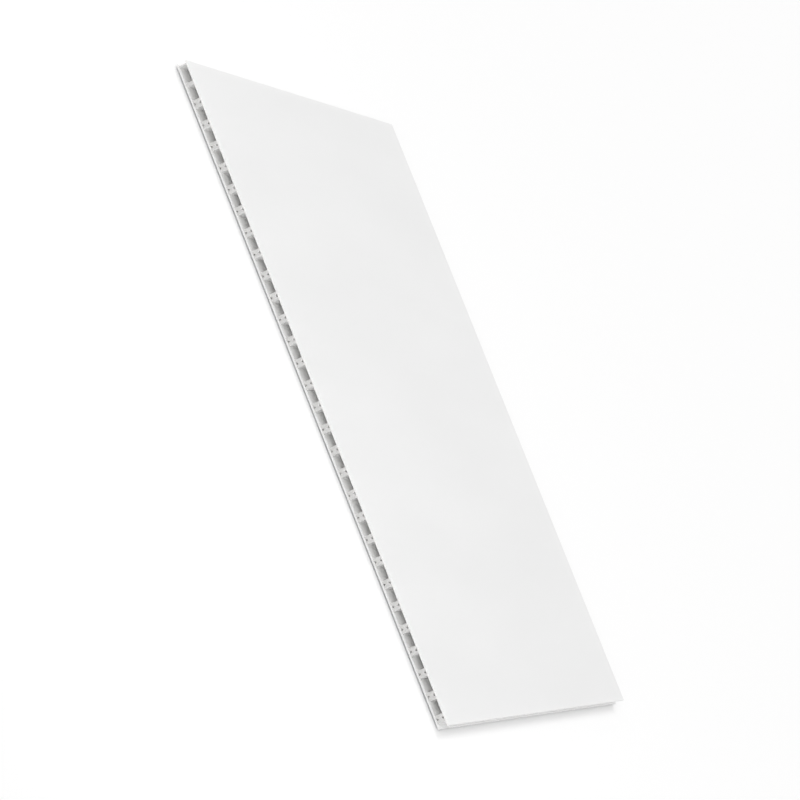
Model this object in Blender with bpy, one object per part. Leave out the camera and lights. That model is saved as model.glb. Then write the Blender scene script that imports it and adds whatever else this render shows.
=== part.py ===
"""Hollow plastic wall panel: one white extrusion, two skins held apart by ribs.

Each rib has a triangular opening against either skin, which leaves an X of plastic.
Metres. The panel lies flat on its back face, front face up. +X runs across the ribs,
+Y along the extrusion, +Z through the thickness. The origin is at the bottom centre.
"""
import math

import bpy

# Overall sizes
PANEL_LENGTH = 0.516
PANEL_THICKNESS = 0.010

# Walls
SKIN_WALL = 0.0016
EDGE_WEB = 0.0013
RIB_SIDE = 0.0016
RIB_WAIST = 0.0022

# Layout across the panel, from the shallow groove along one edge to the channel along the other
GROOVE_DEPTH = 0.0022
FIRST_CELL_WIDTH = 0.0150
FIRST_RIB_WIDTH = 0.0029
CELL_COUNT = 29
CELL_WIDTH = 0.0130
RIB_WIDTH = 0.0068
CHANNEL_DEPTH = 0.0044

# Inside corners, as the die leaves them, and the outer edges of the skins
CELL_FILLET = 0.0005
RIB_FILLET = 0.00025
EDGE_ROUND = 0.0003
CELL_FILLET_STEPS = 3
SMALL_FILLET_STEPS = 1

# Finish
WHITE = (0.86, 0.865, 0.87, 1.0)
WHITE_ROUGHNESS = 0.45

CELL_PITCH = CELL_WIDTH + RIB_WIDTH
FIRST_PITCH = EDGE_WEB + FIRST_CELL_WIDTH + FIRST_RIB_WIDTH
PANEL_WIDTH = GROOVE_DEPTH + FIRST_PITCH + CELL_COUNT * CELL_PITCH + CHANNEL_DEPTH
LEFT = -PANEL_WIDTH / 2
RIGHT = PANEL_WIDTH / 2
FIRST_CELL_LEFT = LEFT + GROOVE_DEPTH + EDGE_WEB
CORE_BOTTOM = SKIN_WALL
CORE_TOP = PANEL_THICKNESS - SKIN_WALL


def clear_scene():
    for obj in list(bpy.data.objects):
        bpy.data.objects.remove(obj, do_unlink=True)


def part_collection(name):
    collection = bpy.data.collections.new(name)
    bpy.context.scene.collection.children.link(collection)
    return collection


def white_plastic():
    material = bpy.data.materials.new("white_plastic")
    material.use_nodes = True
    shader = material.node_tree.nodes["Principled BSDF"]
    shader.inputs["Base Color"].default_value = WHITE
    shader.inputs["Roughness"].default_value = WHITE_ROUGHNESS
    shader.inputs["Metallic"].default_value = 0.0
    material.diffuse_color = WHITE
    return material


def cell_left(index):
    """X where a regular cell starts, at the right side of the rib before it."""
    return LEFT + GROOVE_DEPTH + FIRST_PITCH + index * CELL_PITCH


def corner_arc(before, corner, after, radius, steps):
    """Points of the arc that rounds one corner of a closed outline."""
    to_before = math.atan2(before[1] - corner[1], before[0] - corner[0])
    to_after = math.atan2(after[1] - corner[1], after[0] - corner[0])
    opening = (to_after - to_before + math.pi) % (2 * math.pi) - math.pi
    half = opening / 2
    reach = radius / abs(math.sin(half))
    centre_x = corner[0] + reach * math.cos(to_before + half)
    centre_y = corner[1] + reach * math.sin(to_before + half)
    turn = math.copysign(math.pi, opening) - opening
    start = to_before - math.copysign(math.pi / 2, opening)
    points = []
    for step in range(steps + 1):
        angle = start - turn * step / steps
        points.append((centre_x + radius * math.cos(angle), centre_y + radius * math.sin(angle)))
    return points


def rounded(corners, radius, steps):
    """The closed outline through these corners, with each one rounded."""
    points = []
    for index, corner in enumerate(corners):
        before = corners[index - 1]
        after = corners[(index + 1) % len(corners)]
        points += corner_arc(before, corner, after, radius, steps)
    return points


def outer_outline():
    """The section's outside: both skins, with the groove and the channel let into its edges."""
    groove_floor = LEFT + GROOVE_DEPTH
    channel_floor = RIGHT - CHANNEL_DEPTH
    edge = (EDGE_ROUND, SMALL_FILLET_STEPS)
    root = (CELL_FILLET, CELL_FILLET_STEPS)
    stations = [
        (LEFT, 0.0, edge),
        (RIGHT, 0.0, edge),
        (RIGHT, CORE_BOTTOM, edge),
        (channel_floor, CORE_BOTTOM, root),
        (channel_floor, CORE_TOP, root),
        (RIGHT, CORE_TOP, edge),
        (RIGHT, PANEL_THICKNESS, edge),
        (LEFT, PANEL_THICKNESS, edge),
        (LEFT, CORE_TOP, edge),
        (groove_floor, CORE_TOP, root),
        (groove_floor, CORE_BOTTOM, root),
        (LEFT, CORE_BOTTOM, edge),
    ]
    points = []
    for index, (x, y, (radius, steps)) in enumerate(stations):
        before = stations[index - 1][:2]
        after = stations[(index + 1) % len(stations)][:2]
        points += corner_arc(before, (x, y), after, radius, steps)
    return points


def cell_outline(low, width):
    """One open cell, from skin to skin."""
    high = low + width
    corners = [(low, CORE_BOTTOM), (high, CORE_BOTTOM), (high, CORE_TOP), (low, CORE_TOP)]
    return rounded(corners, CELL_FILLET, CELL_FILLET_STEPS)


def rib_outlines(low, width):
    """The two triangular openings that leave an X of plastic in a rib, one against each skin."""
    middle = low + width / 2
    half_base = width / 2 - RIB_SIDE
    centre = (CORE_BOTTOM + CORE_TOP) / 2
    outlines = []
    for side, skin in ((-1, CORE_BOTTOM), (1, CORE_TOP)):
        apex = centre + side * RIB_WAIST / 2
        corners = [(middle - half_base, skin), (middle + half_base, skin), (middle, apex)]
        outlines.append(rounded(corners, RIB_FILLET, SMALL_FILLET_STEPS))
    return outlines


def section_outlines():
    outlines = [outer_outline(), cell_outline(FIRST_CELL_LEFT, FIRST_CELL_WIDTH)]
    for index in range(CELL_COUNT):
        outlines.append(cell_outline(cell_left(index), CELL_WIDTH))
        outlines += rib_outlines(cell_left(index) + CELL_WIDTH, RIB_WIDTH)
    return outlines


def add_outline(curve, points):
    spline = curve.splines.new("POLY")
    spline.points.add(len(points) - 1)
    for point, (x, y) in zip(spline.points, points):
        point.co = (x, y, 0.0, 1.0)
    spline.use_cyclic_u = True


def wall_panel(collection, material):
    """The section, filled between its outlines and extruded along +Y."""
    curve = bpy.data.curves.new("wall_panel_section", "CURVE")
    curve.dimensions = "2D"
    curve.fill_mode = "BOTH"
    curve.extrude = PANEL_LENGTH / 2
    for points in section_outlines():
        add_outline(curve, points)
    curve.materials.append(material)
    panel = bpy.data.objects.new("wall_panel", curve)
    panel.rotation_euler = (math.pi / 2, 0.0, 0.0)
    collection.objects.link(panel)
    return panel


def main():
    clear_scene()
    collection = part_collection("plastic_wall_panel")
    wall_panel(collection, white_plastic())


main()
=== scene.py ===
import math

import bpy
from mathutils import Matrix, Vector


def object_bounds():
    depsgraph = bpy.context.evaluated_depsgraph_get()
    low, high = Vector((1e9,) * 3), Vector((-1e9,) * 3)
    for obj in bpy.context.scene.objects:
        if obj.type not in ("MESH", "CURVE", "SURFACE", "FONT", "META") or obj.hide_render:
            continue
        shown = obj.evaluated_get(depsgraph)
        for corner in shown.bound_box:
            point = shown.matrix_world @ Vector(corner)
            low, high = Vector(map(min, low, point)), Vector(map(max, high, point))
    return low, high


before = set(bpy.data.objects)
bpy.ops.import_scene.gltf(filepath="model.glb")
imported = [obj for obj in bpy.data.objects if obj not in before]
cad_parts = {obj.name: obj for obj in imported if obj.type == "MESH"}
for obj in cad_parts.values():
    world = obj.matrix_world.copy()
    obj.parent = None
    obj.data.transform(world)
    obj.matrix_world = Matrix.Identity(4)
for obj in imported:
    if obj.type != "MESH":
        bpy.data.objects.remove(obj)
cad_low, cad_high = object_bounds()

PANEL = "wall_panel"

# The panel's own sizes that its finish follows, in metres
PANEL_THICKNESS = cad_high[2] - cad_low[2]
SKIN_WALL = 0.0016
INSIDE_MARGIN = 0.0001

# The photograph's view: a long lens, from low in front of the near cut end, rolled well over
CAMERA_LOCATION = (0.5419, -3.16543, 0.9726)
CAMERA_TURN_DEG = (53.79986, -60.43509, 42.29184)
CAMERA_LENS_MM = 169.363
CAMERA_SENSOR_MM = 36.0
CAMERA_NEAR = 0.01
CAMERA_FAR = 50.0

# White plastic: the smooth skins and the walls inside the cells, then both where they are sawn
SKIN_WHITE = (0.885, 0.885, 0.883, 1.0)
# The walls inside are painted paler than the skins: painted light for the light that reaches the
# cells through the skins.
INSIDE_WHITE_PAINTED_LIGHT = (0.972, 0.970, 0.964, 1.0)
SAWN_SKIN_WHITE = (0.860, 0.857, 0.850, 1.0)
# The sawn core is darker than the sawn skins: partly the duller sawn plastic, partly painted shade
# on the cut end.
SAWN_WHITE_PARTLY_PAINTED_SHADE = (0.680, 0.677, 0.667, 1.0)
SKIN_ROUGHNESS = 0.38
INSIDE_ROUGHNESS = 0.45
SAWN_ROUGHNESS = 0.62

# Light scatters within the plastic over about this depth, in metres, alike for each colour
SCATTER_WEIGHT = 1.0
SCATTER_DEPTH = 0.0009
SCATTER_COLOURS = (1.0, 1.0, 1.0)

# Fine relief and unevenness. Widths, lengths, sizes and depths are in metres. A shine is how much
# the roughness varies either way, and a shade how much the colour does.
LINE_WIDTH = 0.0011
LINE_LENGTH = 0.60
LINE_DEPTH = 0.000004
LINE_SHINE = 0.05
CLOUD_SIZE = 0.070
CLOUD_LENGTH = 0.25
CLOUD_SHINE = 0.05
CLOUD_SHADE = 0.010
SAW_WIDTH = 0.0006
SAW_LENGTH = 0.006
SAW_SLANT_DEG = 14.0
SAW_DEPTH = 0.00005
SAW_SHADE = 0.10
SPECK_SIZE = 0.0005
SPECK_SHINE = 0.10
FINE_DETAIL = 4.0
BROAD_DETAIL = 2.0

# The span that holds most values of a noise, and of two noises multiplied
NOISE_SPAN = (0.3, 0.7)
MARKS_SPAN = (0.12, 0.36)

# A face counts as sawn as the share of its direction that lies along the extrusion crosses this
SAWN_SPAN = (0.6, 0.9)

# Where a Mix node has its two inputs and its result, for numbers and for colours
MIX_SOCKETS = {"FLOAT": (2, 3, 0), "RGBA": (6, 7, 2)}

# The floor is pale for the light on the panel. Where the camera or a reflection sees it, it has a
# whiter colour and a little light of its own. Its gap to the panel and its size are in metres.
FLOOR_GAP = 0.0014
FLOOR_SIZE = 12.0
FLOOR_COLOUR = (0.80, 0.80, 0.80, 1.0)
FLOOR_SEEN = (0.985, 0.985, 0.985, 1.0)
FLOOR_LIFT = 0.03

# An even dome, and broad lamps: the direction each comes from, its strength, its spread in degrees
WHITE_LIGHT = (1.0, 1.0, 1.0, 1.0)
WORLD_STRENGTH = 0.713
SUNS = {
    "key": ((-0.60, 0.50, 1.00), 0.640, 25.0),
    "front": ((-0.25, -1.00, 0.70), 0.307, 40.0),
    "low_front": ((0.17, -1.00, 0.31), 0.376, 25.0),
}
UNREFLECTED_SUN = "low_front"

# A soft box in front of the near cut end: its place and size in metres, its power in watts
BOX_FROM = (0.0, -0.75, 0.60)
BOX_SIZE = 0.50
BOX_POWER = 0.582

# Light bounces this often between white walls, so that it reaches well into the cells
DIFFUSE_BOUNCES = 12


def new_material(name):
    """A material with an empty node tree."""
    material = bpy.data.materials.new(name)
    material.use_nodes = True
    material.node_tree.nodes.clear()
    return material, material.node_tree


def add(tree, kind, **settings):
    """A new node with these settings."""
    node = tree.nodes.new(kind)
    for key, value in settings.items():
        setattr(node, key, value)
    return node


def feed(tree, value, socket):
    """Links an input to a node's output, or sets it to a number or a colour."""
    if isinstance(value, bpy.types.NodeSocket):
        tree.links.new(value, socket)
    else:
        socket.default_value = value


def maths(tree, operation, first, second=None):
    """One Math node; each of its inputs is an output of another node or a number."""
    node = add(tree, "ShaderNodeMath", operation=operation)
    feed(tree, first, node.inputs[0])
    if second is not None:
        feed(tree, second, node.inputs[1])
    return node.outputs[0]


def between(tree, value, span, out_low, out_high):
    """Maps a span of a value to a range, held at the range's ends."""
    node = add(tree, "ShaderNodeMapRange", interpolation_type="LINEAR", clamp=True)
    tree.links.new(value, node.inputs["Value"])
    node.inputs["From Min"].default_value = span[0]
    node.inputs["From Max"].default_value = span[1]
    node.inputs["To Min"].default_value = out_low
    node.inputs["To Max"].default_value = out_high
    return node.outputs["Result"]


def noise(tree, place, size, detail, slant_deg=0.0):
    """Noise whose grains have this size in metres along X, Y and Z."""
    mapping = add(tree, "ShaderNodeMapping", vector_type="POINT")
    mapping.inputs["Rotation"].default_value = (0.0, math.radians(slant_deg), 0.0)
    mapping.inputs["Scale"].default_value = [1.0 / length for length in size]
    texture = add(tree, "ShaderNodeTexNoise")
    texture.inputs["Scale"].default_value = 1.0
    texture.inputs["Detail"].default_value = detail
    tree.links.new(place, mapping.inputs["Vector"])
    tree.links.new(mapping.outputs["Vector"], texture.inputs["Vector"])
    return texture.outputs["Fac"]


def mixed(tree, share, first, second, kind="FLOAT"):
    """Goes from the first value to the second as the share goes from 0 to 1."""
    node = add(tree, "ShaderNodeMix", data_type=kind)
    first_slot, second_slot, result_slot = MIX_SOCKETS[kind]
    tree.links.new(share, node.inputs["Factor"])
    feed(tree, first, node.inputs[first_slot])
    feed(tree, second, node.inputs[second_slot])
    return node.outputs[result_slot]


def bump(tree, height, depth, normal=None):
    """Relief of this depth in metres, on top of the relief that a normal already has."""
    node = add(tree, "ShaderNodeBump")
    node.inputs["Strength"].default_value = 1.0
    node.inputs["Distance"].default_value = depth
    tree.links.new(height, node.inputs["Height"])
    if normal is not None:
        tree.links.new(normal, node.inputs["Normal"])
    return node.outputs["Normal"]


def regions(tree, place, facing):
    """Shares from 0 to 1: the two ends, where the saw cut, and the layer between the skins."""
    split_place = add(tree, "ShaderNodeSeparateXYZ")
    split_facing = add(tree, "ShaderNodeSeparateXYZ")
    tree.links.new(place, split_place.inputs[0])
    tree.links.new(facing, split_facing.inputs[0])
    along = maths(tree, "ABSOLUTE", split_facing.outputs["Y"])
    sawn = between(tree, along, SAWN_SPAN, 0.0, 1.0)
    height = maths(tree, "SUBTRACT", split_place.outputs["Z"], PANEL_THICKNESS / 2)
    from_middle = maths(tree, "ABSOLUTE", height)
    core = PANEL_THICKNESS / 2 - SKIN_WALL
    skin_span = (core + INSIDE_MARGIN, core + 2 * INSIDE_MARGIN)
    inside = between(tree, from_middle, skin_span, 1.0, 0.0)
    return sawn, inside


def plastic_colour(tree, sawn, inside, clouds, scratches, specks):
    """Paler cell walls as painted light, and a sawn core darker than the sawn skins, partly painted
    shade, with broad faint clouds on the smooth faces and finer light and dark marks on the sawn
    ends.
    """
    smooth = mixed(tree, inside, SKIN_WHITE, INSIDE_WHITE_PAINTED_LIGHT, "RGBA")
    cut = mixed(tree, inside, SAWN_SKIN_WHITE, SAWN_WHITE_PARTLY_PAINTED_SHADE, "RGBA")
    colour = mixed(tree, sawn, smooth, cut, "RGBA")
    cloud_shade = between(tree, clouds, NOISE_SPAN, 1.0 - CLOUD_SHADE, 1.0 + CLOUD_SHADE)
    marks = maths(tree, "MULTIPLY", scratches, specks)
    saw_shade = between(tree, marks, MARKS_SPAN, 1.0 - SAW_SHADE, 1.0 + SAW_SHADE)
    scaled = add(tree, "ShaderNodeVectorMath", operation="SCALE")
    tree.links.new(colour, scaled.inputs[0])
    tree.links.new(mixed(tree, sawn, cloud_shade, saw_shade), scaled.inputs["Scale"])
    return scaled.outputs[0]


def plastic_roughness(tree, sawn, inside, lines, clouds, specks):
    """Satin, a little uneven along the lines and in clouds, and rougher and speckled where sawn."""
    line_shine = between(tree, lines, NOISE_SPAN, -LINE_SHINE, LINE_SHINE)
    cloud_shine = between(tree, clouds, NOISE_SPAN, -CLOUD_SHINE, CLOUD_SHINE)
    even = mixed(tree, inside, SKIN_ROUGHNESS, INSIDE_ROUGHNESS)
    smooth = maths(tree, "ADD", even, maths(tree, "ADD", line_shine, cloud_shine))
    roughest = SAWN_ROUGHNESS + SPECK_SHINE
    cut = between(tree, specks, NOISE_SPAN, SAWN_ROUGHNESS - SPECK_SHINE, roughest)
    return mixed(tree, sawn, smooth, cut)


def plastic_relief(tree, sawn, lines, scratches):
    """Shallow lines on the smooth faces, and deeper scratches on the sawn ends."""
    line_height = maths(tree, "MULTIPLY", lines, maths(tree, "SUBTRACT", 1.0, sawn))
    saw_height = maths(tree, "MULTIPLY", scratches, sawn)
    normal = bump(tree, line_height, LINE_DEPTH)
    return bump(tree, saw_height, SAW_DEPTH, normal)


def white_plastic():
    """Satin skins with faint lines along the extrusion, cell walls painted paler as painted light,
    and rough sawn ends whose core is darker, partly painted shade.
    """
    material, tree = new_material("white_plastic_look")
    shader = add(tree, "ShaderNodeBsdfPrincipled")
    out = add(tree, "ShaderNodeOutputMaterial")
    tree.links.new(shader.outputs["BSDF"], out.inputs["Surface"])
    coordinates = add(tree, "ShaderNodeTexCoord")
    place = coordinates.outputs["Object"]
    sawn, inside = regions(tree, place, coordinates.outputs["Normal"])
    line_size = (LINE_WIDTH, LINE_LENGTH, LINE_WIDTH)
    cloud_size = (CLOUD_SIZE, CLOUD_LENGTH, CLOUD_SIZE)
    scratch_size = (SAW_WIDTH, SAW_WIDTH, SAW_LENGTH)
    speck_size = (SPECK_SIZE, SPECK_SIZE, SPECK_SIZE)
    lines = noise(tree, place, line_size, FINE_DETAIL)
    clouds = noise(tree, place, cloud_size, BROAD_DETAIL)
    scratches = noise(tree, place, scratch_size, FINE_DETAIL, SAW_SLANT_DEG)
    specks = noise(tree, place, speck_size, BROAD_DETAIL)
    colour = plastic_colour(tree, sawn, inside, clouds, scratches, specks)
    tree.links.new(colour, shader.inputs["Base Color"])
    roughness = plastic_roughness(tree, sawn, inside, lines, clouds, specks)
    tree.links.new(roughness, shader.inputs["Roughness"])
    tree.links.new(plastic_relief(tree, sawn, lines, scratches), shader.inputs["Normal"])
    shader.inputs["Subsurface Weight"].default_value = SCATTER_WEIGHT
    shader.inputs["Subsurface Radius"].default_value = SCATTER_COLOURS
    shader.inputs["Subsurface Scale"].default_value = SCATTER_DEPTH
    return material


def dress_panel():
    """Gives the panel its plastic. Its shape is the CAD model's own."""
    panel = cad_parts[PANEL]
    panel.data.materials.clear()
    panel.data.materials.append(white_plastic())


def floor_material():
    """Matt and pale, and close to the backdrop's white where the camera or a reflection sees it."""
    material, tree = new_material("pale_floor")
    path = add(tree, "ShaderNodeLightPath")
    seen = maths(tree, "MAXIMUM", path.outputs["Is Camera Ray"], path.outputs["Is Glossy Ray"])
    seen = maths(tree, "MAXIMUM", seen, path.outputs["Is Transmission Ray"])
    matt = add(tree, "ShaderNodeBsdfDiffuse")
    tree.links.new(mixed(tree, seen, FLOOR_COLOUR, FLOOR_SEEN, "RGBA"), matt.inputs["Color"])
    lift = add(tree, "ShaderNodeEmission")
    lift.inputs["Color"].default_value = WHITE_LIGHT
    tree.links.new(maths(tree, "MULTIPLY", seen, FLOOR_LIFT), lift.inputs["Strength"])
    total = add(tree, "ShaderNodeAddShader")
    out = add(tree, "ShaderNodeOutputMaterial")
    tree.links.new(matt.outputs["BSDF"], total.inputs[0])
    tree.links.new(lift.outputs["Emission"], total.inputs[1])
    tree.links.new(total.outputs["Shader"], out.inputs["Surface"])
    return material


def add_floor():
    """A wide level floor just under the panel."""
    bpy.ops.mesh.primitive_plane_add(size=FLOOR_SIZE, location=(0.0, 0.0, -FLOOR_GAP))
    floor = bpy.context.object
    floor.name = "floor"
    floor.data.materials.append(floor_material())


def add_world():
    """An even white dome of light."""
    world = bpy.data.worlds.new("studio")
    bpy.context.scene.world = world
    world.use_nodes = True
    background = world.node_tree.nodes["Background"]
    background.inputs["Color"].default_value = WHITE_LIGHT
    background.inputs["Strength"].default_value = WORLD_STRENGTH


def add_lamp(name, kind, place, energy):
    """A lamp turned to the middle of the panel."""
    data = bpy.data.lights.new(name, kind)
    data.energy = energy
    lamp = bpy.data.objects.new(name, data)
    lamp.location = place
    lamp.rotation_mode = "QUATERNION"
    lamp.rotation_quaternion = (-Vector(place)).to_track_quat("-Z", "Y")
    bpy.context.scene.collection.objects.link(lamp)
    return lamp


def add_lamps():
    """Broad light from behind and from the front, and a soft box near the cut end.

    The low lamp reaches into the cells. It has no reflection, which would whiten the faces.
    """
    for name, (place, strength, spread) in SUNS.items():
        sun = add_lamp(name, "SUN", place, strength)
        sun.data.angle = math.radians(spread)
        sun.visible_glossy = name != UNREFLECTED_SUN
    box = add_lamp("soft_box", "AREA", BOX_FROM, BOX_POWER)
    box.data.size = BOX_SIZE


def add_camera():
    """The camera that sees the panel as the photograph does."""
    data = bpy.data.cameras.new("camera")
    data.sensor_width = CAMERA_SENSOR_MM
    data.lens = CAMERA_LENS_MM
    data.clip_start = CAMERA_NEAR
    data.clip_end = CAMERA_FAR
    camera = bpy.data.objects.new("camera", data)
    camera.location = CAMERA_LOCATION
    camera.rotation_euler = [math.radians(angle) for angle in CAMERA_TURN_DEG]
    bpy.context.scene.collection.objects.link(camera)
    bpy.context.scene.camera = camera


dress_panel()
add_floor()
add_world()
add_lamps()
add_camera()
bpy.context.scene.view_settings.view_transform = "Standard"
bpy.context.scene.cycles.diffuse_bounces = DIFFUSE_BOUNCES
